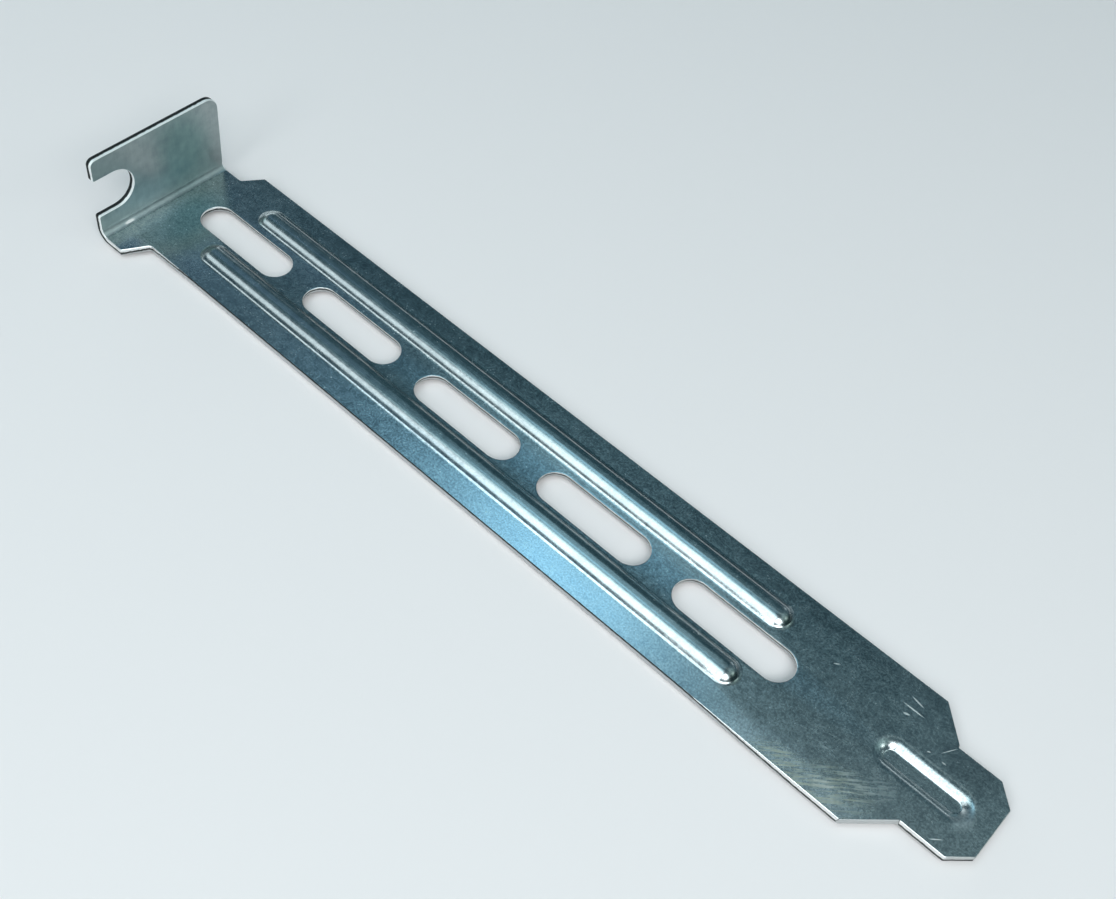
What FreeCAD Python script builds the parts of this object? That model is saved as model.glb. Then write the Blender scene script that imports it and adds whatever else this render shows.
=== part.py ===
import FreeCAD, Part
import math
import os
from FreeCAD import Vector

# Full height expansion slot bracket, vented, folded from one strip of plated steel sheet.
# It lies on its inner face with the outer face up and the screw tab standing at the -X end.
# Sizes are in millimetres.

# Sheet and blade
sheet_thickness = 0.86
overall_length = 120.02  # outer face of the tab to the tip of the tongue
blade_width = 18.42
corner_radius = 0.25  # every small corner of the blank
rim_break = 0.12  # the blanking die turns the rim of the outer face down this far

# Fold and screw tab
bend_radius = 0.8  # inside the fold
tab_width = 19.05
tab_overhang = 3.17  # past the blade's left edge
tab_height = 11.43  # above the blade's outer face
tab_corner_radius = 1.8  # far top corner
prong_corner_radius = 0.8  # top corner above the notch
notch_width = 5.5
notch_depth = 5.6  # from the tab's left edge to the root of the notch

# Neck between the fold and the blade
neck_length = 3.5  # from the tab's seat to the tapers
neck_taper = 1.8  # along the blade
neck_radius = 0.5  # inside corners of the tapers

# Tongue
tongue_length = 7.06  # from the shoulders to the tip
tongue_width = 10.7
tongue_offset = 0.23  # to the right of the blade's centreline
tongue_chamfer = 2.1
tongue_root_radius = 0.2
shoulder_step = 0.3  # left by the punch where the right shoulder meets the tongue

# Vent slots, in one row on the centreline
slot_length = 15.0
slot_width = 4.4
slot_web = 4.05  # land between two slots
first_slot_gap = 4.9  # from the tab's seat
last_slot_gap = 10.0  # least land between the last slot and the shoulders

# Long stiffening ribs, raised on the outer face beside the slots
rib_width = 3.8  # foot to foot
rib_height = 0.8
rib_crown_width = 0.4
rib_foot_radius = 0.55
left_rib_land = 0.32  # flat land between a slot and the left rib's foot
right_rib_land = 0.71
rib_start_setback = 5.05  # behind the start of the first slot
rib_end_setback = 3.5  # before the end of the last slot

# Short bead, pressed inwards where the tongue leaves the blade
bead_length = 11.2
bead_width = 4.1  # rim to rim
bead_depth = 0.6
bead_floor_width = 1.26
bead_foot_radius = 0.87  # where its back rises from the inner face
bead_tip_gap = 2.06  # from the bead to the tip of the tongue

# Form limits
tightest_inner_share = 0.1  # of a crown's outer radius, left as radius inside it
least_edge = 1e-6  # shorter stretches between two rounds are left out
quarter_turn = 90
half_turn = 180

# Places worked out in the sheet's own frame.
# x runs from the tab's seat, y from the blade's centreline, z up from the outer face.
blade_half = blade_width / 2
tab_left = -blade_half - tab_overhang
tab_right = tab_left + tab_width
taper_end = neck_length + neck_taper
tip_x = overall_length - sheet_thickness
root_x = tip_x - tongue_length
tongue_left = tongue_offset - tongue_width / 2
tongue_right = tongue_offset + tongue_width / 2
left_shoulder_x = root_x - (blade_half + tongue_left)
right_shoulder_x = root_x - (blade_half - tongue_right - shoulder_step)

slot_pitch = slot_length + slot_web
vent_end_limit = min(left_shoulder_x, right_shoulder_x) - last_slot_gap
slot_count = 1 + int((vent_end_limit - first_slot_gap - slot_length) // slot_pitch)
vent_end = first_slot_gap + slot_length + (slot_count - 1) * slot_pitch
rib_start = first_slot_gap + rib_start_setback
rib_length = vent_end - rib_end_setback - rib_start
left_rib_y = -(slot_width / 2 + left_rib_land + rib_width / 2)
right_rib_y = slot_width / 2 + right_rib_land + rib_width / 2
bead_x = tip_x - bead_tip_gap - bead_length / 2


# Closed outline through corners given as (point, radius), each corner rounded to its radius
def rounded_outline(corners):
    ends = []
    for i, (corner, radius) in enumerate(corners):
        back = (corners[i - 1][0] - corner).normalize()
        ahead = (corners[(i + 1) % len(corners)][0] - corner).normalize()
        half_angle = back.getAngle(ahead) / 2
        reach = radius / math.tan(half_angle)
        inward = (back + ahead).normalize()
        nearest = corner + inward * (radius / math.sin(half_angle) - radius)
        ends.append((corner + back * reach, nearest, corner + ahead * reach, radius))
    edges = []
    for i, (start, middle, end, radius) in enumerate(ends):
        if radius > 0:
            edges.append(Part.Arc(start, middle, end).toShape())
        following = ends[(i + 1) % len(ends)][0]
        if end.distanceToPoint(following) > least_edge:
            edges.append(Part.LineSegment(end, following).toShape())
    return Part.Wire(edges)


# Flat piece of sheet from its outline on the outer face
def sheet_piece(corners, into_sheet):
    return Part.Face(rounded_outline(corners)).extrude(into_sheet * sheet_thickness)


# Plug the shape of a slot with round ends, as thick as the sheet, centred on the z axis
def round_ended_plug(length, width):
    x, y = length / 2, width / 2
    rim = [Vector(-x, -y, 0), Vector(x, -y, 0), Vector(x, y, 0), Vector(-x, y, 0)]
    return sheet_piece([(corner, y) for corner in rim], Vector(0, 0, -1))


# S curve of two arcs in the yz plane, from the foot of an embossing up to its crown
def flank_curve(foot, crown, foot_radius, crown_radius):
    lean = 2 * math.atan2(crown.z - foot.z, foot.y - crown.y)
    foot_centre = foot + Vector(0, 0, foot_radius)
    crown_centre = crown - Vector(0, 0, crown_radius)

    def on_foot(turn):
        return foot_centre - Vector(0, math.sin(turn), math.cos(turn)) * foot_radius

    def on_crown(turn):
        return crown_centre + Vector(0, math.sin(turn), math.cos(turn)) * crown_radius

    foot_arc = Part.Arc(foot, on_foot(lean / 2), on_foot(lean))
    crown_arc = Part.Arc(on_crown(lean), on_crown(lean / 2), crown)
    return [foot_arc.toShape(), crown_arc.toShape()]


# Rib or bead pressed up out of the sheet, with round ends and the sheet's thickness kept
def embossing(length, width, crown_width, rise, foot_radius):
    half = width / 2
    crown = crown_width / 2
    run = half - crown
    both_radii = (run ** 2 + rise ** 2) / (2 * rise)
    crown_radius = both_radii - foot_radius
    wrap = min(sheet_thickness, crown_radius * (1 - tightest_inner_share))
    through = Vector(0, 0, -sheet_thickness)
    foot_top = Vector(0, half, 0)
    crown_top = Vector(0, crown, rise)
    middle_top = Vector(0, 0, rise)
    top = flank_curve(foot_top, crown_top, foot_radius, crown_radius)
    under = flank_curve(foot_top + through, crown_top + through, foot_radius + wrap, crown_radius - wrap)
    straight_edges = [
        Part.LineSegment(crown_top, middle_top).toShape(),
        Part.LineSegment(middle_top, middle_top + through).toShape(),
        Part.LineSegment(middle_top + through, crown_top + through).toShape(),
        Part.LineSegment(foot_top + through, foot_top).toShape(),
    ]
    half_section = Part.Face(Part.Wire(Part.__sortEdges__(top + under + straight_edges)))
    straight = length - width
    near_end = half_section.revolve(Vector(0, 0, 0), Vector(0, 0, 1), half_turn)
    near_end.translate(Vector(-straight / 2, 0, 0))
    far_end = near_end.mirror(Vector(0, 0, 0), Vector(1, 0, 0))
    one_side = half_section.extrude(Vector(straight, 0, 0))
    one_side.translate(Vector(-straight / 2, 0, 0))
    other_side = one_side.mirror(Vector(0, 0, 0), Vector(0, 1, 0))
    return near_end.multiFuse([far_end, one_side, other_side]).removeSplitter()


# Piece with the rims of one face broken, apart from the edge that meets the fold
def with_broken_rims(piece, on_face, at_fold):
    def lies(edge, test):
        ends = [vertex.Point for vertex in edge.Vertexes]
        return all(test(point) for point in ends + [edge.CenterOfMass])

    rims = [edge for edge in piece.Edges if lies(edge, on_face) and not lies(edge, at_fold)]
    return piece.makeChamfer(rim_break, rims)


# Blade with its neck, shoulders, tongue and vent slots, before the ribs are pressed
def pierced_blade():
    outline = [
        (Vector(bend_radius, tab_left, 0), 0),
        (Vector(neck_length, tab_left, 0), corner_radius),
        (Vector(taper_end, -blade_half, 0), neck_radius),
        (Vector(left_shoulder_x, -blade_half, 0), corner_radius),
        (Vector(root_x, tongue_left, 0), tongue_root_radius),
        (Vector(tip_x - tongue_chamfer, tongue_left, 0), corner_radius),
        (Vector(tip_x, tongue_left + tongue_chamfer, 0), corner_radius),
        (Vector(tip_x, tongue_right - tongue_chamfer, 0), corner_radius),
        (Vector(tip_x - tongue_chamfer, tongue_right, 0), corner_radius),
        (Vector(root_x, tongue_right, 0), tongue_root_radius),
        (Vector(root_x, tongue_right + shoulder_step, 0), 0),
        (Vector(right_shoulder_x, blade_half, 0), corner_radius),
        (Vector(taper_end, blade_half, 0), corner_radius),
        (Vector(neck_length, tab_right, 0), neck_radius),
        (Vector(bend_radius, tab_right, 0), 0),
    ]
    blade = sheet_piece(outline, Vector(0, 0, -1))
    for i in range(slot_count):
        slot = round_ended_plug(slot_length, slot_width)
        slot.translate(Vector(first_slot_gap + slot_length / 2 + i * slot_pitch, 0, 0))
        blade = blade.cut(slot)
    return with_broken_rims(
        blade,
        lambda point: abs(point.z) < least_edge,
        lambda point: abs(point.x - bend_radius) < least_edge,
    )


# Screw tab above the fold, its open notch facing left
def screw_tab():
    notch_low = (tab_height - notch_width) / 2
    notch_high = notch_low + notch_width
    notch_root = tab_left + notch_depth
    outline = [
        (Vector(0, tab_left, bend_radius), 0),
        (Vector(0, tab_right, bend_radius), 0),
        (Vector(0, tab_right, tab_height), tab_corner_radius),
        (Vector(0, tab_left, tab_height), prong_corner_radius),
        (Vector(0, tab_left, notch_high), corner_radius),
        (Vector(0, notch_root, notch_high), notch_width / 2),
        (Vector(0, notch_root, notch_low), notch_width / 2),
        (Vector(0, tab_left, notch_low), corner_radius),
    ]
    return with_broken_rims(
        sheet_piece(outline, Vector(-1, 0, 0)),
        lambda point: abs(point.x) < least_edge,
        lambda point: abs(point.z - bend_radius) < least_edge,
    )


# Quarter turn of sheet that joins the neck to the tab
def fold():
    section = [
        (Vector(bend_radius, tab_left, -sheet_thickness), 0),
        (Vector(bend_radius, tab_right, -sheet_thickness), 0),
        (Vector(bend_radius, tab_right, -rim_break), 0),
        (Vector(bend_radius, tab_right - rim_break, 0), 0),
        (Vector(bend_radius, tab_left + rim_break, 0), 0),
        (Vector(bend_radius, tab_left, -rim_break), 0),
    ]
    axis_point = Vector(bend_radius, 0, bend_radius)
    return Part.Face(rounded_outline(section)).revolve(axis_point, Vector(0, 1, 0), quarter_turn)


# Blade with one embossing set in the place that it is pressed from
def pressed_in(blade, form, length, width, place):
    blank = round_ended_plug(length, width)
    blank.translate(place)
    form.translate(place)
    return blade.cut(blank).fuse(form)


blade = pierced_blade()
for rib_y in (left_rib_y, right_rib_y):
    rib = embossing(rib_length, rib_width, rib_crown_width, rib_height, rib_foot_radius)
    rib_place = Vector(rib_start + rib_length / 2, rib_y, 0)
    blade = pressed_in(blade, rib, rib_length, rib_width, rib_place)
raised_bead = embossing(bead_length, bead_width, bead_floor_width, bead_depth, bead_foot_radius)
bead = raised_bead.mirror(Vector(0, 0, -sheet_thickness / 2), Vector(0, 0, 1))
blade = pressed_in(blade, bead, bead_length, bead_width, Vector(bead_x, tongue_offset, 0))

bracket = blade.multiFuse([fold(), screw_tab()]).removeSplitter()

# The origin is midway along and across, at the height of the bead's back, which touches the ground
bracket.translate(
    Vector(sheet_thickness - overall_length / 2, tab_overhang / 2, bead_depth + sheet_thickness)
)
os.makedirs("parts", exist_ok=True)
bracket.exportStep("parts/bracket.step")
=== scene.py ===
import bmesh
import bpy
import math
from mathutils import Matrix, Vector


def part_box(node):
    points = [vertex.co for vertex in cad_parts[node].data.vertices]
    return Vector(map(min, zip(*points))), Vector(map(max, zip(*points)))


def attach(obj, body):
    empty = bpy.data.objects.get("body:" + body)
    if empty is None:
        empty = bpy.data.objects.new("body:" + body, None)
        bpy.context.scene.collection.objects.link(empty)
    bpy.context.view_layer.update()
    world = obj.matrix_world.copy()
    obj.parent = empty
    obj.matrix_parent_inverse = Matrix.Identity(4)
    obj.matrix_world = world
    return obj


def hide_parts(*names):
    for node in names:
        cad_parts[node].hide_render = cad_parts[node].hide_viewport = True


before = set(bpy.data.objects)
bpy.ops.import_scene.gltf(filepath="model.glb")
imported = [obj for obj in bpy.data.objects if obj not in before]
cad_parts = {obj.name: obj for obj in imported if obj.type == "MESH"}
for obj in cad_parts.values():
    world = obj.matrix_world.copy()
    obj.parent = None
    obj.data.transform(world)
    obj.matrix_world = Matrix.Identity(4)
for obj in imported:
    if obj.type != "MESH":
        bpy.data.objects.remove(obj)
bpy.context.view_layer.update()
mm = 0.001
tiny = 1e-7  # nearer to a plane than this is on it
touching = 1e-6  # nearer to each other than this is one point

# Folded sheet: lengths have a decimal point and are in millimetres, counts and degrees have none
bracket = {
    "thickness": 0.86,
    "bladeWidth": 18.42,
    "cornerRadius": 0.25,
    "bendRadius": 0.8,
    "tabWidth": 19.05,
    "tabHeight": 11.43,
    "tabCornerRadius": 1.8,
    "prongCornerRadius": 0.8,
    "notchWidth": 5.5,
    "notchDepth": 5.6,
    "neckLength": 3.5,
    "neckTaper": 1.8,
    "neckRadius": 0.5,
    "tongueLength": 7.06,
    "tongueWidth": 10.7,
    "tongueOffset": 0.23,
    "tongueChamfer": 2.1,
    "tongueRootRadius": 0.2,
    "shoulderStep": 0.3,
    "slotCount": 5,
    "slotLength": 15.0,
    "slotWidth": 4.4,
    "slotPitch": 19.05,
    "slotRoll": 0.16,  # round a slot the punch pulls the face down over this width
    "slotRollDepth": 0.02,
    "firstSlotGap": 4.9,
    "ribWidth": 3.8,
    "ribHeight": 0.8,
    "ribCrownWidth": 0.4,
    "ribFootRadius": 0.55,
    "leftRibLand": 0.32,  # between a slot and the left rib
    "rightRibLand": 0.71,
    "ribStartSetback": 5.05,
    "ribEndSetback": 3.5,
    "beadLength": 11.2,
    "beadWidth": 4.1,
    "beadDepth": 0.6,
    "beadFloorWidth": 1.26,
    "beadRimRadius": 1.73,
    "beadTipGap": 2.06,
    "outerRim": 0.11,  # rolled over by the blanking die
    "innerRim": 0.03,  # burr side
    "support": 0.07,  # ring that keeps the flats flat
    "innerDroop": 0.05,  # the flat between the ribs sinks this far at its middle
    "leftDroop": 0.1,  # the left rib and strip lean this far
    "stripDroop": 0.2,  # the strip beside the left rib leans on, at its free edge
    "stripDraw": 0.2,  # and is drawn in towards the rib
    "droopFade": 9.0,  # over this length at the ribs' ends
    "crossCuts": 4.0,  # between the cuts across the blade that let it bend
    "longCuts": (-0.6, 0, 0.6),  # and where the cuts along it lie, in half slot widths
    "sliver": 0.008,  # shorter edges are merged away
    "roundStep": 9,  # turn of each facet round a corner
    "endPoints": 48,  # facets round a slot's or rib's two ends
    "footSteps": 7,
    "crownSteps": 11,
    "rollSteps": 4,
    "rimSteps": 4,
    "foldSteps": 14,
    "smoothAngle": 40,
}
bracket = {name: size * mm if isinstance(size, float) else size for name, size in bracket.items()}


def near(a, b):
    return (a - b).length < touching


def choose(kind, test):
    # selects what passes the test, and nothing else
    bpy.ops.mesh.select_mode(type=kind)
    bpy.ops.mesh.select_all(action="DESELECT")
    mesh = bpy.context.edit_object.data
    shape = bmesh.from_edit_mesh(mesh)
    for part in {"VERT": shape.verts, "EDGE": shape.edges, "FACE": shape.faces}[kind]:
        if test(part):
            part.select_set(True)
    shape.select_flush_mode()
    bmesh.update_edit_mesh(mesh)


def chooseVerts(wanted):
    choose("VERT", lambda v: v.index in wanted)


def mergeAll(within=touching):
    bpy.ops.mesh.select_mode(type="VERT")
    bpy.ops.mesh.select_all(action="SELECT")
    bpy.ops.mesh.remove_doubles(threshold=within)


def traceFace(corners):
    # one vertex is extruded from corner to corner, closed to a face, and each corner is rounded
    places = [place for place, radius in corners]
    bpy.ops.mesh.select_mode(type="VERT")
    bpy.ops.mesh.primitive_plane_add(size=mm, location=places[0])
    bpy.ops.mesh.merge(type="CENTER")
    for here, there in zip(places, places[1:]):
        bpy.ops.mesh.extrude_region_move(TRANSFORM_OT_translate={"value": there - here})
    choose("VERT", lambda v: any(near(v.co, place) for place in places))
    bpy.ops.mesh.edge_face_add()
    for i, (place, radius) in enumerate(corners):
        if radius > 0:
            inside = (places[i - 1] - place).angle(places[(i + 1) % len(places)] - place)
            choose("VERT", lambda v: near(v.co, place))
            bpy.ops.mesh.bevel(
                offset=radius / math.tan(inside / 2),
                segments=math.ceil((math.pi - inside) / math.radians(bracket["roundStep"])),
                affect="VERTICES",
                clamp_overlap=False,
            )
    mergeAll()


def ringHalf(middle, side):
    # the selected ring's vertices on one side of its middle
    shape = bmesh.from_edit_mesh(bpy.context.edit_object.data)
    return {v.index for v in shape.verts if v.select and (v.co.x - middle.x) * side > 0}


def stadiumRing(middle, length, width):
    # a circle with one half slid along, left selected
    slide = Vector((length - width, 0, 0))
    start = middle - slide / 2
    points = bracket["endPoints"]
    bpy.ops.mesh.select_mode(type="VERT")
    bpy.ops.mesh.primitive_circle_add(
        vertices=points, radius=width / 2, location=start, rotation=(0, 0, math.pi / points)
    )
    back = ringHalf(start, -1)
    ahead = ringHalf(start, 1)
    chooseVerts(ahead)
    bpy.ops.transform.translate(value=slide)
    chooseVerts(back | ahead)


def pressProfile(half, crownHalf, rise, footRadius):
    # S curve of two arcs, as (half width, height) from the foot to the crown
    run = half - crownHalf
    lean = 2 * math.atan2(rise, run)
    crownRadius = (run ** 2 + rise ** 2) / (2 * rise) - footRadius
    curve = []
    for i in range(1, bracket["footSteps"] + 1):
        turn = lean * i / bracket["footSteps"]
        curve.append((half - footRadius * math.sin(turn), footRadius * (1 - math.cos(turn))))
    for i in reversed(range(bracket["crownSteps"])):
        turn = lean * i / bracket["crownSteps"]
        height = rise - crownRadius * (1 - math.cos(turn))
        curve.append((crownHalf + crownRadius * math.sin(turn), height))
    return curve


def pressRing(middle, length, width, curve, way, capped=True):
    # the foot ring is extruded up or down the curve, its round ends shrinking about their own centres
    stadiumRing(middle, length, width)
    radius, level = width / 2, 0
    for nextRadius, nextLevel in curve:
        bpy.ops.mesh.extrude_region_move(
            TRANSFORM_OT_translate={"value": (0, 0, way * (nextLevel - level))}
        )
        halves = {side: ringHalf(middle, side) for side in (-1, 1)}
        shrink = nextRadius / radius
        for side, verts in halves.items():
            chooseVerts(verts)
            bpy.ops.transform.resize(
                value=(shrink, shrink, 1),
                center_override=middle + Vector((side * (length - width) / 2, 0, way * nextLevel)),
            )
        chooseVerts(halves[-1] | halves[1])
        radius, level = nextRadius, nextLevel
    if capped:
        bpy.ops.mesh.edge_face_add()


# Places on the outer face, worked out from the frame's box
boxLow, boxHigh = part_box("bracket")
outerZ = boxLow.z + bracket["beadDepth"] + bracket["thickness"]
seatX = boxLow.x + bracket["thickness"]
bendX = seatX + bracket["bendRadius"]
bendZ = outerZ + bracket["bendRadius"]
tipX = boxHigh.x
rootX = tipX - bracket["tongueLength"]
tabLeft = boxLow.y
tabRight = tabLeft + bracket["tabWidth"]
bladeRight = boxHigh.y
bladeLeft = bladeRight - bracket["bladeWidth"]
bladeMiddle = (bladeLeft + bladeRight) / 2
tongueMiddle = bladeMiddle + bracket["tongueOffset"]
tongueLeft = tongueMiddle - bracket["tongueWidth"] / 2
tongueRight = tongueMiddle + bracket["tongueWidth"] / 2
firstSlotX = seatX + bracket["firstSlotGap"] + bracket["slotLength"] / 2
lastSlotX = firstSlotX + (bracket["slotCount"] - 1) * bracket["slotPitch"]
ribStart = seatX + bracket["firstSlotGap"] + bracket["ribStartSetback"]
ribEnd = lastSlotX + bracket["slotLength"] / 2 - bracket["ribEndSetback"]
ribMiddle = bladeMiddle + (bracket["rightRibLand"] - bracket["leftRibLand"]) / 2
ribLands = bracket["slotWidth"] + bracket["leftRibLand"] + bracket["rightRibLand"]
ribSide = (ribLands + bracket["ribWidth"]) / 2
beadX = tipX - bracket["beadTipGap"] - bracket["beadLength"] / 2


def bladeOutline():
    small = bracket["cornerRadius"]
    step = bracket["shoulderStep"]
    cut = bracket["tongueChamfer"]
    neckX = seatX + bracket["neckLength"]
    taperX = neckX + bracket["neckTaper"]
    leftShoulderX = rootX - (tongueLeft - bladeLeft)
    rightShoulderX = rootX - (bladeRight - tongueRight - step)
    outline = [
        (bendX, tabLeft, 0),
        (neckX, tabLeft, small),
        (taperX, bladeLeft, bracket["neckRadius"]),
        (leftShoulderX, bladeLeft, small),
        (rootX, tongueLeft, bracket["tongueRootRadius"]),
        (tipX - cut, tongueLeft, small),
        (tipX, tongueLeft + cut, small),
        (tipX, tongueRight - cut, small),
        (tipX - cut, tongueRight, small),
        (rootX, tongueRight, bracket["tongueRootRadius"]),
        (rootX, tongueRight + step, 0),
        (rightShoulderX, bladeRight, small),
        (taperX, bladeRight, small),
        (neckX, tabRight, bracket["neckRadius"]),
        (bendX, tabRight, 0),
    ]
    traceFace([(Vector((x, y, outerZ)), radius) for x, y, radius in outline])
    bpy.ops.mesh.delete(type="ONLY_FACE")  # the flat is filled once slots, ribs and bead are there


def ventSlots():
    roll = bracket["slotRoll"]
    half = bracket["slotWidth"] / 2
    length = bracket["slotLength"] + 2 * roll
    width = bracket["slotWidth"] + 2 * roll
    curve = []
    for i in range(1, bracket["rollSteps"] + 1):
        share = i / bracket["rollSteps"]
        curve.append((half + roll * (1 - share), bracket["slotRollDepth"] * share ** 2))
    for i in range(bracket["slotCount"]):
        middle = Vector((firstSlotX + i * bracket["slotPitch"], bladeMiddle, outerZ))
        pressRing(middle, length, width, curve, -1, capped=False)


def stiffeningRibs():
    half = bracket["ribWidth"] / 2
    crownHalf = bracket["ribCrownWidth"] / 2
    curve = pressProfile(half, crownHalf, bracket["ribHeight"], bracket["ribFootRadius"])
    for side in (-1, 1):
        middle = Vector(((ribStart + ribEnd) / 2, ribMiddle + side * ribSide, outerZ))
        pressRing(middle, ribEnd - ribStart, bracket["ribWidth"], curve, 1)


def tongueBead():
    half = bracket["beadWidth"] / 2
    floorHalf = bracket["beadFloorWidth"] / 2
    curve = pressProfile(half, floorHalf, bracket["beadDepth"], bracket["beadRimRadius"])
    middle = Vector((beadX, tongueMiddle, outerZ))
    pressRing(middle, bracket["beadLength"], bracket["beadWidth"], curve, -1)


def onOuterFace(v):
    return abs(v.co.z - outerZ) < tiny


def fillFlat():
    # the flat between the outline, the slots and the feet of the pressings
    choose("EDGE", lambda e: len(e.link_faces) < 2 and all(onOuterFace(v) for v in e.verts))
    bpy.ops.mesh.fill(use_beauty=True)
    bpy.ops.mesh.inset(thickness=bracket["support"])


def smoothShare(value):
    # from 0 to 1, level at both ends
    value = min(max(value, 0), 1)
    return value * value * (3 - 2 * value)


def ventShare(x):
    # 1 beside the slots, half at the ribs' ends, fading to 0 past them
    fade = bracket["droopFade"]
    return smoothShare((x - ribStart) / fade + 0.5) * smoothShare((ribEnd - x) / fade + 0.5)


def leftShare(y, start):
    # from 0 where the lean starts to 1 at the left edge
    return max((start - y) / (start - bladeLeft), 0)


def pulled(place):
    # the pressing of the ribs pulls the flats down and leaves the left side leaning
    innerFoot = ribSide - bracket["ribWidth"] / 2
    outerFoot = ribSide + bracket["ribWidth"] / 2
    strip = leftShare(place.y, ribMiddle - outerFoot)
    lean = leftShare(place.y, ribMiddle - innerFoot)
    drop = bracket["stripDroop"] * strip + bracket["leftDroop"] * lean
    side = (place.y - ribMiddle) / innerFoot
    if abs(side) < 1:
        drop += bracket["innerDroop"] * (1 - side ** 2)
    return place + ventShare(place.x) * Vector((0, bracket["stripDraw"] * strip, -drop))


def onVentFlat(face):
    beadStart = beadX - bracket["beadLength"] / 2
    droopStart = ribStart - bracket["droopFade"] - tiny
    return all(onOuterFace(v) and droopStart < v.co.x < beadStart for v in face.verts)


def droopFlats():
    # cuts across and along the blade let the flats bend, then each point is pulled
    cuts = []
    x = ribStart - bracket["droopFade"]
    while x < ribEnd + bracket["droopFade"]:
        cuts.append(((x, 0, 0), (1, 0, 0)))
        x += bracket["crossCuts"]
    for share in bracket["longCuts"]:
        cuts.append(((0, bladeMiddle + share * bracket["slotWidth"] / 2, 0), (0, 1, 0)))
    for place, way in cuts:
        choose("FACE", lambda f: way[0] == 1 or onVentFlat(f))  # cuts along stay on the flat
        bpy.ops.mesh.bisect(plane_co=place, plane_no=way)
    shape = bmesh.from_edit_mesh(bpy.context.edit_object.data)
    for v in shape.verts:
        v.co = pulled(v.co)
    bmesh.update_edit_mesh(bpy.context.edit_object.data)


def screwTab():
    notchLow = outerZ + (bracket["tabHeight"] - bracket["notchWidth"]) / 2
    notchHigh = notchLow + bracket["notchWidth"]
    notchRoot = tabLeft + bracket["notchDepth"]
    outline = [
        (tabLeft, bendZ, 0),
        (tabRight, bendZ, 0),
        (tabRight, boxHigh.z, bracket["tabCornerRadius"]),
        (tabLeft, boxHigh.z, bracket["prongCornerRadius"]),
        (tabLeft, notchHigh, bracket["cornerRadius"]),
        (notchRoot, notchHigh, bracket["notchWidth"] / 2),
        (notchRoot, notchLow, bracket["notchWidth"] / 2),
        (tabLeft, notchLow, bracket["cornerRadius"]),
    ]
    traceFace([(Vector((seatX, y, z)), radius) for y, z, radius in outline])
    choose("FACE", lambda f: all(abs(v.co.x - seatX) < tiny for v in f.verts))
    bpy.ops.mesh.inset(thickness=bracket["support"])


def atNeckEnd(edge):
    return len(edge.link_faces) == 1 and all(abs(v.co.x - bendX) < tiny for v in edge.verts)


def foldUp():
    # the neck's end edge is spun up to the foot of the tab
    choose("EDGE", atNeckEnd)
    bpy.ops.mesh.spin(
        steps=bracket["foldSteps"],
        angle=math.pi / 2,
        center=(bendX, 0, bendZ),
        axis=(0, -1, 0),
        use_auto_merge=False,
    )


def sheetWall(piece):
    # thickness is added behind the outer face, and the cut edges go to the second finish
    bpy.ops.object.modifier_add(type="SOLIDIFY")
    wall = piece.modifiers[-1]
    wall.thickness = bracket["thickness"]
    wall.offset = -1
    wall.use_even_offset = True
    wall.use_quality_normals = True
    wall.material_offset_rim = 1
    bpy.ops.object.modifier_apply(modifier=wall.name)


def rimEdge(edge, outside):
    # an edge between a cut face and one skin: the outer, which faces up or to the tongue, or the inner
    if len(edge.link_faces) != 2:
        return False
    slots = {f.material_index: f for f in edge.link_faces}
    if set(slots) != {0, 1}:
        return False
    return (slots[0].normal.x + slots[0].normal.z > 0) == outside


def breakRims():
    choose("EDGE", lambda e: rimEdge(e, True))
    bpy.ops.mesh.bevel(
        offset=bracket["outerRim"], segments=bracket["rimSteps"], affect="EDGES", material=1
    )
    choose("EDGE", lambda e: rimEdge(e, False))
    bpy.ops.mesh.bevel(offset=bracket["innerRim"], segments=1, affect="EDGES", material=1)


def makeBracket(finishes):
    bpy.ops.object.select_all(action="DESELECT")
    bpy.ops.mesh.primitive_plane_add(size=mm)
    piece = bpy.context.object
    piece.name = "folded_bracket"
    piece.data.name = "folded_bracket"
    for finish in finishes:
        piece.data.materials.append(finish)
    bpy.ops.object.mode_set(mode="EDIT")
    bpy.ops.mesh.delete(type="VERT")
    bladeOutline()
    ventSlots()
    stiffeningRibs()
    tongueBead()
    fillFlat()
    droopFlats()
    screwTab()
    foldUp()
    mergeAll(within=bracket["sliver"])
    bpy.ops.mesh.normals_make_consistent(inside=False)
    shape = bmesh.from_edit_mesh(piece.data)
    if sum(f.normal.z * f.calc_area() for f in shape.faces) < 0:
        bpy.ops.mesh.flip_normals()
    bpy.ops.object.mode_set(mode="OBJECT")
    print("sheet traced and pressed:", len(piece.data.polygons), "faces")
    sheetWall(piece)
    bpy.ops.object.mode_set(mode="EDIT")
    breakRims()
    mergeAll()
    bpy.ops.object.mode_set(mode="OBJECT")
    bpy.ops.object.shade_smooth_by_angle(angle=math.radians(bracket["smoothAngle"]))
    bpy.ops.object.modifier_add(type="WEIGHTED_NORMAL")
    piece.modifiers[-1].keep_sharp = True
    bpy.ops.object.modifier_apply(modifier=piece.modifiers[-1].name)
    print("sheet thickened, rims rolled:", len(piece.data.polygons), "faces")
    return piece


noiseSpan = (0.3, 0.7)  # most of a noise's values lie between these


def addNode(tree, kind, inputs, **settings):
    # a shader node with its settings, and its inputs set or linked
    made = tree.nodes.new("ShaderNode" + kind)
    for name, value in settings.items():
        setattr(made, name, value)
    for name, value in inputs.items():
        if isinstance(value, bpy.types.NodeSocket):
            tree.links.new(value, made.inputs[name])
        else:
            made.inputs[name].default_value = value
    return made


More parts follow.
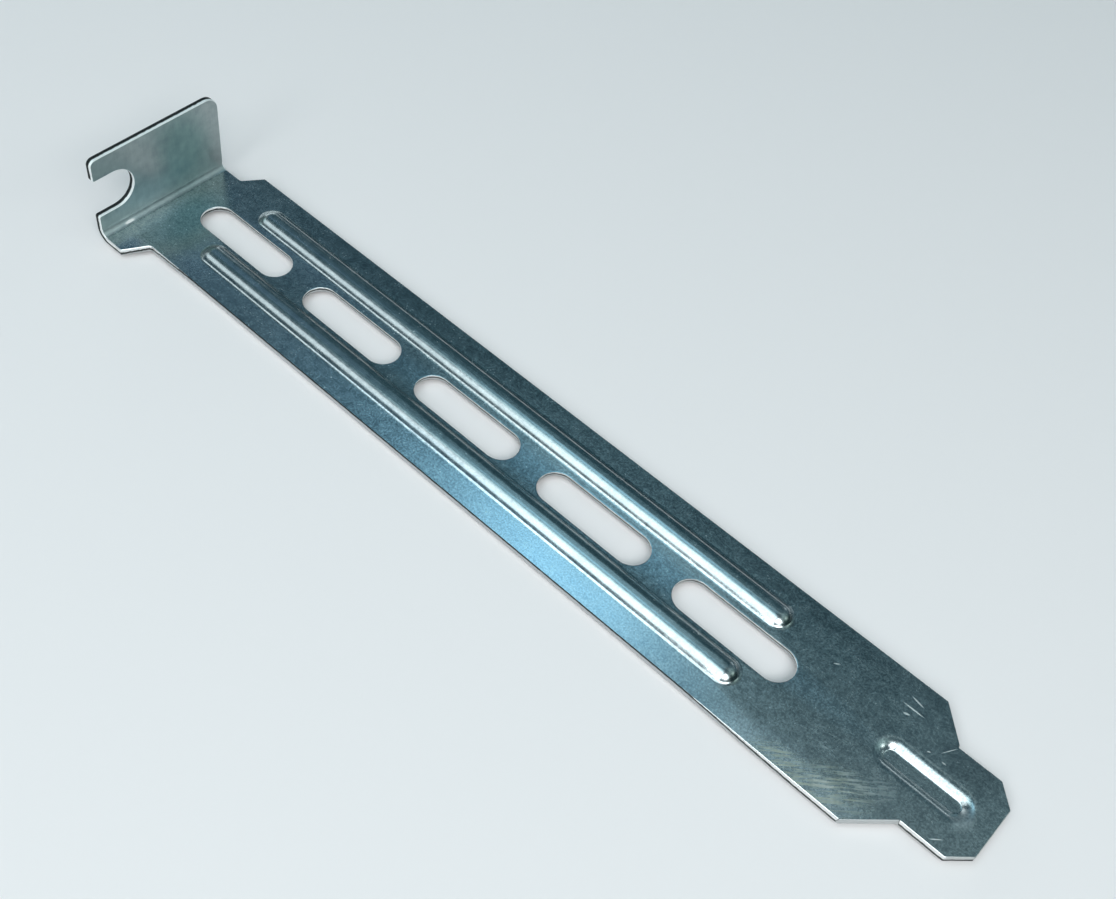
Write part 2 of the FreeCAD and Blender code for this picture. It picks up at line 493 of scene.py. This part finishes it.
def newMetal(name):
    # a metal, its node tree, its shader, and the coordinates that its patterns read
    finish = bpy.data.materials.new(name)
    finish.use_nodes = True
    tree = finish.node_tree
    skin = tree.nodes["Principled BSDF"]
    skin.inputs["Metallic"].default_value = 1
    coords = addNode(tree, "TexCoord", {}).outputs["Object"]
    return finish, tree, skin, coords


def calc(tree, operation, first, second=0.0, clamp=False):
    made = addNode(tree, "Math", {0: first, 1: second}, operation=operation, use_clamp=clamp)
    return made.outputs[0]


def levels(tree, value, low, high, outLow=0.0, outHigh=1.0):
    # what runs from low to high comes out from outLow to outHigh, and stops there
    made = addNode(tree, "MapRange", {0: value, 1: low, 2: high, 3: outLow, 4: outHigh})
    return made.outputs[0]


def between(tree, share, first, second):
    return levels(tree, share, 0.0, 1.0, first, second)


def blendColour(tree, share, first, second, blend="MIX"):
    # a Mix node's colours are its inputs 6 and 7, and its output 2
    made = addNode(tree, "Mix", {0: share, 6: first, 7: second}, data_type="RGBA", blend_type=blend)
    return made.outputs[2]


def noiseAt(tree, coords, size, detail=2.0, stretch=(1, 1, 1), turn=0.0):
    # noise with features about this many millimetres across
    spread = addNode(
        tree,
        "Mapping",
        {"Vector": coords, "Rotation": (0, 0, math.radians(turn)), "Scale": stretch},
        vector_type="TEXTURE",
    )
    inputs = {"Vector": spread.outputs[0], "Scale": 1 / (size * mm), "Detail": detail}
    return addNode(tree, "TexNoise", inputs).outputs["Fac"]


def noises(tree, coords, patterns):
    return {name: noiseAt(tree, coords, *pattern) for name, pattern in patterns.items()}


def sway(tree, value, amount):
    # noise about its middle
    return calc(tree, "MULTIPLY", calc(tree, "SUBTRACT", value, 0.5), amount)


def softSpot(tree, coords, along, across, length, width, turn, up=0.0, height=None):
    # 1 in the middle of a mark, falling to 0 at its rim; with no height it ends at the inner face
    deep = bracket["thickness"] if height is None else height * mm / 2
    place = addNode(
        tree,
        "Mapping",
        {
            "Vector": coords,
            "Location": (seatX + along * mm, bladeLeft + across * mm, outerZ + up * mm),
            "Rotation": (0, 0, math.radians(turn)),
            "Scale": (length * mm / 2, width * mm / 2, deep),
        },
        vector_type="TEXTURE",
    )
    spot = addNode(tree, "TexGradient", {"Vector": place.outputs[0]}, gradient_type="SPHERICAL")
    return spot.outputs["Fac"]


def marks(tree, coords, places, low, high):
    # the strongest of several soft spots
    share = 0.0
    for place in places:
        share = calc(tree, "MAXIMUM", share, levels(tree, softSpot(tree, coords, *place), low, high))
    return share


def stretchShare(tree, alongX, rise, fall):
    # 1 along a stretch of the blade, rising and falling between places in millimetres from the seat
    start = levels(tree, alongX, *[seatX + place * mm for place in rise])
    end = levels(tree, alongX, *[seatX + place * mm for place in fall], 1.0, 0.0)
    return calc(tree, "MULTIPLY", start, end)


def tabShare(tree, alongX):
    # 0 on the blade, rising to 1 in the fold
    return levels(tree, alongX, bendX, (seatX + bendX) / 2)


def addBump(tree, skin, height, depth):
    bump = addNode(tree, "Bump", {"Height": height, "Strength": 1.0, "Distance": depth * mm})
    tree.links.new(bump.outputs[0], skin.inputs["Normal"])


# Finish of the sheet's faces, in millimetres and degrees
# A place is along from the seat, across from the blade's left edge, length, width and turn
# Off the flat it also has its height over the outer face and how tall it is
zincFinish = {
    "light": (0.72, 0.77, 0.77, 1),
    "dark": (0.38, 0.43, 0.45, 1),
    "tab": (0.64, 0.67, 0.66, 1),  # the tab is painted this much darker, as shade
    "fold": (1.24, 1.26, 1.25, 1),  # and the fold this much lighter, a painted highlight
    "noise": {  # size of the features, detail, stretch and turn
        "grain": (0.22, 1.0),
        "mottle": (1.1, 3.0),
        "cloud": (7.0,),
        "rolled": (0.3, 2.0, (20, 1, 20)),  # rolling lines run along the blade and up the tab
        "scuffLines": (0.22, 3.0, (9, 1, 1), 40),
        "scuffGaps": (2.2,),
        "rubLines": (0.3, 2.0, (5, 1, 1), 20),
    },
    "grain": (1.9, 0.2),  # how far the grain sways the tone, on the blade and on the tab
    "ribGrain": 0.4,  # share of it on the ribs, which are rubbed smoother than the flats
    "ribRise": (0.1, 0.4),  # height over the flat at which that sets in
    "sway": {"mottle": 0.9, "cloud": 0.4, "rolled": 0.25},
    "toneSpan": (-0.5, 0.5),  # from dark to light
    "rim": (0.0, 0.6),  # how a tint fades at its rim
    "tints": {  # colour to multiply by, and places; most are painted reflection or shade
        "paintedBlueReflection": (
            (1.1, 1.26, 1.38, 1),  # painted blue reflection, along the left edge and between the slots
            [(58.0, 0.6, 70.0, 10.0, 0), (68.0, 9.2, 80.0, 6.0, 0)],
        ),
        # lighter: handling wear on the left edge before the shoulder, and a painted highlight on the
        # blade beside the fold
        "wornAndFoldSheen": (
            (1.45, 1.42, 1.45, 1),
            [(102.5, 0.6, 22.0, 6.0, 0), (1.6, 2.0, 3.4, 16.0, 0)],
        ),
        # painted shade: the right strip, the tongue's right side and a stretch of the left strip made
        # darker
        "paintedShade": (
            (0.8, 0.81, 0.82, 1),
            [(60.0, 17.4, 130.0, 4.4, 0), (114.5, 13.6, 9.0, 5.0, 0), (90.5, 1.2, 11.0, 6.0, 0)],
        ),
        # painted reflection: the neck tinted darker and bluer
        "neck": (
            (0.88, 1.02, 1.1, 1),
            [(4.5, 6.0, 7.0, 18.0, 0)],
        ),
        # painted shade on the ribs' ends by the tongue, dimming a glint there
        "ribEndShade": (
            (0.3, 0.34, 0.32, 1),
            [(92.1, 4.6, 1.8, 2.2, 0, 0.4, 1.6), (92.1, 14.0, 1.8, 2.2, 0, 0.4, 1.6)],
        ),
        # painted shade on the middle of the tab
        "tabPaintedShade": (
            (0.7, 0.84, 0.84, 1),
            [(0.0, 10.0, 2.0, 10.0, 0, 6.0, 16.0)],
        ),
    },
    "wear": {  # places, how they fade at the rim, and the noises that break them up
        "tan": {
            "places": [
                (100.6, 1.0, 8.0, 3.6, 10),
                (105.8, 2.2, 9.0, 6.0, 25),
                (103.0, 0.4, 14.0, 2.6, 0),
            ],
            "rim": (0.0, 0.6),
            "broken": {"scuffLines": (0.42, 0.6, 0.08, 1.0)},
        },
        "scuff": {
            "places": [(107.2, 3.9, 11.0, 5.4, 35)],
            "rim": (0.0, 0.5),
            "broken": {"scuffLines": (0.45, 0.62), "scuffGaps": (0.36, 0.58)},
        },
        "rub": {
            "places": [(102.5, 6.0, 7.0, 3.6, 20)],
            "rim": (0.0, 0.6),
            "broken": {"rubLines": (0.55, 0.75)},
        },
        "scratchesAndFoldGlint": {
            "places": [
                (106.65, 16.05, 1.9, 0.2, -11),
                (106.8, 15.0, 2.9, 0.22, 0),
                (106.5, 14.1, 0.8, 0.3, 20),
                (98.4, 13.7, 0.8, 0.14, 35),
                (111.7, 13.75, 2.1, 0.1, 60),
                (115.55, 5.0, 1.6, 0.13, 42),
                (110.3, 12.2, 0.5, 0.16, 30),
                (112.0, 12.2, 0.6, 0.14, 0),
                # painted glint on the fold, laid on like a scratch
                (0.32, 0.7, 0.4, 1.9, 0),
            ],
            "rim": (0.05, 0.4),
            "broken": {},
        },
        "matt": {  # in the bead's end
            "places": [(116.3, 8.6, 2.6, 3.4, 0)],
            "rim": (0.0, 0.6),
            "broken": {},
        },
    },
    "rubShare": 0.4,  # rubs and scratches lay the metal bare, rubs only this far; the bare colour also paints the fold glint
    "wearColours": {  # colour, and how far it covers the plate
        "tan": ((0.98, 0.91, 0.72, 1), 0.8),
        "scuff": ((0.82, 0.82, 0.79, 1), 0.75),
        "bare": ((0.95, 0.95, 0.93, 1), 1.0),
    },
    "roughness": 0.24,
    "roughnessSway": 0.02,  # either way, by the grain and again by the mottle
    "rougher": {"tab": 0.09, "fold": 0.2, "tan": 0.16, "scuff": 0.1, "bare": 0.35, "matt": 0.25},
    "relief": 0.001,  # depth of the grain
    "rolledRelief": 0.3,  # share of it for the rolling lines
}


def zincPlate():
    finish, tree, skin, coords = newMetal("zincPlate")
    noise = noises(tree, coords, zincFinish["noise"])
    place = addNode(tree, "SeparateXYZ", {"Vector": coords})
    heightZ = place.outputs["Z"]
    onTab = tabShare(tree, place.outputs["X"])
    onBlade = levels(tree, heightZ, bendZ, (outerZ + bendZ) / 2)
    onFold = calc(tree, "MULTIPLY", onTab, onBlade)
    raised = levels(tree, heightZ, *[outerZ + rise * mm for rise in zincFinish["ribRise"]])
    onRib = calc(tree, "SUBTRACT", raised, onTab, clamp=True)

    # the plate's own tone, then tints of painted reflection and shade, and of handling wear
    grainShare = between(tree, onTab, *zincFinish["grain"])
    grainShare = calc(tree, "MULTIPLY", grainShare, between(tree, onRib, 1.0, zincFinish["ribGrain"]))
    tone = sway(tree, noise["grain"], grainShare)
    for name, amount in zincFinish["sway"].items():
        tone = calc(tree, "ADD", tone, sway(tree, noise[name], amount))
    tone = levels(tree, tone, *zincFinish["toneSpan"])
    plate = blendColour(tree, tone, zincFinish["dark"], zincFinish["light"])
    for tint, places in zincFinish["tints"].values():
        share = marks(tree, coords, places, *zincFinish["rim"])
        plate = blendColour(tree, share, plate, tint, "MULTIPLY")
    # painted shade on the tab and a painted highlight along the fold
    plate = blendColour(tree, onTab, plate, zincFinish["tab"], "MULTIPLY")
    plate = blendColour(tree, onFold, plate, zincFinish["fold"], "MULTIPLY")

    # wear over the plate
    shares = {"tab": onTab, "fold": onFold}
    for name, wear in zincFinish["wear"].items():
        share = marks(tree, coords, wear["places"], *wear["rim"])
        for pattern, span in wear["broken"].items():
            share = calc(tree, "MULTIPLY", share, levels(tree, noise[pattern], *span))
        shares[name] = share
    rubs = calc(tree, "MULTIPLY", shares["rub"], zincFinish["rubShare"])
    shares["bare"] = calc(tree, "MAXIMUM", shares["scratchesAndFoldGlint"], rubs)
    for name, (colour, cover) in zincFinish["wearColours"].items():
        plate = blendColour(tree, calc(tree, "MULTIPLY", shares[name], cover), plate, colour)
    tree.links.new(plate, skin.inputs["Base Color"])

    rough = zincFinish["roughness"]
    either = zincFinish["roughnessSway"]
    for name in ("grain", "mottle"):
        rough = calc(tree, "ADD", rough, levels(tree, noise[name], *noiseSpan, -either, either))
    for name, amount in zincFinish["rougher"].items():
        rough = calc(tree, "ADD", rough, calc(tree, "MULTIPLY", shares[name], amount))
    tree.links.new(rough, skin.inputs["Roughness"])

    grains = calc(tree, "MULTIPLY", noise["grain"], grainShare)
    lines = calc(tree, "MULTIPLY", noise["rolled"], zincFinish["rolledRelief"])
    addBump(tree, skin, calc(tree, "ADD", grains, lines), zincFinish["relief"])
    return finish


# Finish of the cut edges: a bright burnished band beside the outer face, a torn line near black as
# painted shade, then the burr
# Bands are shares of the thickness, and a stretch is where it sets in and where it ends along the blade
edgeFinish = {
    "burnished": (0.94, 0.95, 0.94, 1),
    # torn zone: partly its own dull steel, partly painted shade, hence near black
    "tornAndShaded": (0.05, 0.055, 0.055, 1),
    "burr": (0.6, 0.61, 0.61, 1),
    "band": 0.6,  # burnished
    "ventBand": 0.26,  # and beside the slots
    "tabBand": 0.4,
    "tornBand": (0.28, 0.7),  # on the blade and on the tab
    "blur": 0.12,  # from one band to the next
    "ragged": 0.06,  # how far their borders wander either way
    "vents": ((2.0, 7.0), (94.0, 104.0)),
    "shoulders": ((107.8, 108.1), (111.9, 112.2)),  # burr right through
    "shoulderLift": 2.0,  # takes the other bands off the edge there
    "tip": ((117.0, 117.3), (119.5, 119.8)),  # darker from the tongue's corners on
    "tipTint": (0.58, 0.6, 0.6, 1),
    "roughness": (0.28, 0.75),  # burnished, on the blade and on the tab
    "tornRoughness": 0.6,
    "noise": {"ragged": (0.5, 3.0), "tears": (0.12, 3.0)},
    "tearDepth": 0.02,
}


def shearedEdge():
    finish, tree, skin, coords = newMetal("shearedEdge")
    noise = noises(tree, coords, edgeFinish["noise"])
    place = addNode(tree, "SeparateXYZ", {"Vector": coords})
    alongX = place.outputs["X"]
    onTab = tabShare(tree, alongX)

    # depth below the outer face, followed round the fold
    backX = calc(tree, "MAXIMUM", calc(tree, "SUBTRACT", bendX, alongX), 0.0)
    downZ = calc(tree, "MAXIMUM", calc(tree, "SUBTRACT", bendZ, place.outputs["Z"]), 0.0)
    reach = addNode(tree, "CombineXYZ", {"X": backX, "Z": downZ})
    far = addNode(tree, "VectorMath", {0: reach.outputs[0]}, operation="LENGTH").outputs["Value"]
    under = calc(tree, "SUBTRACT", far, bracket["bendRadius"])
    depth = calc(tree, "DIVIDE", under, bracket["thickness"])
    either = edgeFinish["ragged"]
    depth = calc(tree, "ADD", depth, levels(tree, noise["ragged"], *noiseSpan, -either, either))

    # the bands, by how deep they lie
    beside = stretchShare(tree, alongX, *edgeFinish["vents"])
    band = between(tree, beside, edgeFinish["band"], edgeFinish["ventBand"])
    tabLoss = edgeFinish["band"] - edgeFinish["tabBand"]
    band = calc(tree, "SUBTRACT", band, between(tree, onTab, 0.0, tabLoss))
    shoulder = stretchShare(tree, alongX, *edgeFinish["shoulders"])
    band = calc(tree, "SUBTRACT", band, calc(tree, "MULTIPLY", shoulder, edgeFinish["shoulderLift"]))
    past = calc(tree, "SUBTRACT", depth, band)
    tornAndShaded = levels(tree, past, -edgeFinish["blur"] / 2, edgeFinish["blur"] / 2)
    burrStart = between(tree, onTab, *edgeFinish["tornBand"])
    burr = levels(tree, calc(tree, "SUBTRACT", past, burrStart), 0.0, edgeFinish["blur"])
    tip = stretchShare(tree, alongX, *edgeFinish["tip"])

    cut = blendColour(tree, tornAndShaded, edgeFinish["burnished"], edgeFinish["tornAndShaded"])
    cut = blendColour(tree, burr, cut, edgeFinish["burr"])
    cut = blendColour(tree, tip, cut, edgeFinish["tipTint"], "MULTIPLY")
    tree.links.new(cut, skin.inputs["Base Color"])
    rough = between(tree, onTab, *edgeFinish["roughness"])
    rough = calc(tree, "MAXIMUM", rough, between(tree, tornAndShaded, 0.0, edgeFinish["tornRoughness"]))
    tree.links.new(rough, skin.inputs["Roughness"])
    addBump(tree, skin, calc(tree, "MULTIPLY", noise["tears"], tornAndShaded), edgeFinish["tearDepth"])
    return finish


finishes = [zincPlate(), shearedEdge()]
print("finishes mixed:", ", ".join(f.name for f in finishes))
foldedBracket = makeBracket(finishes)
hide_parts("bracket")
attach(foldedBracket, "root")

# Table top, in metres
table = {"colour": (0.87, 0.81, 0.8, 1), "roughness": 0.85, "size": 3}
bpy.ops.object.select_all(action="DESELECT")
bpy.ops.mesh.primitive_plane_add(size=table["size"], location=(0, 0, boxLow.z))
tableTop = bpy.context.object
tableTop.name = "table_top"
pale = bpy.data.materials.new("paleTable")
pale.use_nodes = True
paleSkin = pale.node_tree.nodes["Principled BSDF"]
paleSkin.inputs["Base Color"].default_value = table["colour"]
paleSkin.inputs["Roughness"].default_value = table["roughness"]
tableTop.data.materials.append(pale)
print("table laid at", round(boxLow.z / mm, 3), "mm")

# Camera, fitted to the photo's view of the standard outline
photoView = {
    "place": (51.67, -73.34, 119.96),  # millimetres
    "turn": (37.469, -3.927, 44.066),  # degrees
    "lens": 43.418,
    "sensor": 36,
    "shiftX": 0.087,
    "nearest": 10,  # millimetres
}
bpy.ops.object.camera_add(
    location=[x * mm for x in photoView["place"]], rotation=[math.radians(a) for a in photoView["turn"]]
)
camera = bpy.context.object
camera.data.lens = photoView["lens"]
camera.data.sensor_width = photoView["sensor"]
camera.data.shift_x = photoView["shiftX"]
camera.data.clip_start = photoView["nearest"] * mm
bpy.context.scene.camera = camera
print("camera set, lens", photoView["lens"], "mm")

# Room and soft boxes: (place, tilt about X, turn about Z, size, glow, colour), in metres and degrees
studio = {
    "room": (0.024, 0.066, 0.086, 1),
    "boxes": {
        "overheadBox": ((-0.05, -0.317, 0.539), 22, 0, (0.4, 0.526), 2.2, (0.84, 0.97, 1)),
        "beadBox": ((0.09, -0.64, 0.39), 32, 0, (0.24, 0.22), 6, (0.9, 0.98, 1)),
        "lineBox": ((0.06, 0.9, 0.36), -68, 0, (0.2, 0.14), 1.1, (0.9, 0.98, 1)),
        "nearBox": ((-0.53, 0.28, 0.6), 0, 0, (0.3, 0.14), 0.22, (0.45, 0.68, 1)),
        "whiteBox": ((-0.15, -0.02, 0.62), 0, 0, (0.3, 0.12), 1.4, (0.62, 0.92, 1)),
        "paleBox": ((-0.1835, 0.22, 0.61), 0, 0, (0.183, 0.29), 0.55, (0.58, 0.9, 1)),
        "skyBox": ((-0.157, 0.195, 0.6), 0, 0, (0.13, 0.15), 1.0, (0.36, 0.74, 1)),
        "sideBox": ((-0.45, -0.347, 0.512), 25, 0, (0.4, 0.36), 1.1, (0.88, 0.97, 1)),
        "leftBox": ((-0.8, 0.22, 0.26), 72.6, -105.4, (1.05, 0.3), 0.9, (0.9, 0.98, 1)),
        "farBox": ((0.5, 0.36, 0.6), 50, 123, (0.62, 0.6), 0.24, (0.66, 0.97, 0.92)),
        "rimBox": ((0.576, 0.344, 0.432), 57, 121, (0.2, 0.2), 2.2, (0.9, 1, 0.97)),
        "foldBox": ((0.2, 0.28, 0.6), 0, 0, (0.6, 0.06), 0.5, (0.85, 1, 0.98)),
        "endBox": ((0.32, 0.55, 0.42), -50, 0, (0.6, 0.7), 0.07, (0.72, 0.92, 1)),
        "fillBox": ((0.55, -0.35, 0.6), 0, 0, (0.6, 0.5), 5.8, (0.94, 0.985, 1)),
    },
}
room = bpy.data.worlds.new("room")
bpy.context.scene.world = room
room.use_nodes = True
room.node_tree.nodes["Background"].inputs["Color"].default_value = studio["room"]
for name, (place, tilt, turn, size, glow, colour) in studio["boxes"].items():
    bpy.ops.object.light_add(
        type="AREA", location=place, rotation=(math.radians(tilt), 0, math.radians(turn))
    )
    lamp = bpy.context.object
    lamp.name = name
    lamp.data.shape = "RECTANGLE"
    lamp.data.size, lamp.data.size_y = size
    lamp.data.energy = glow * math.pi * size[0] * size[1]  # so the glow holds at any size
    lamp.data.color = colour

bpy.context.scene.view_settings.view_transform = "Standard"
print("soft boxes hung:", len(studio["boxes"]))
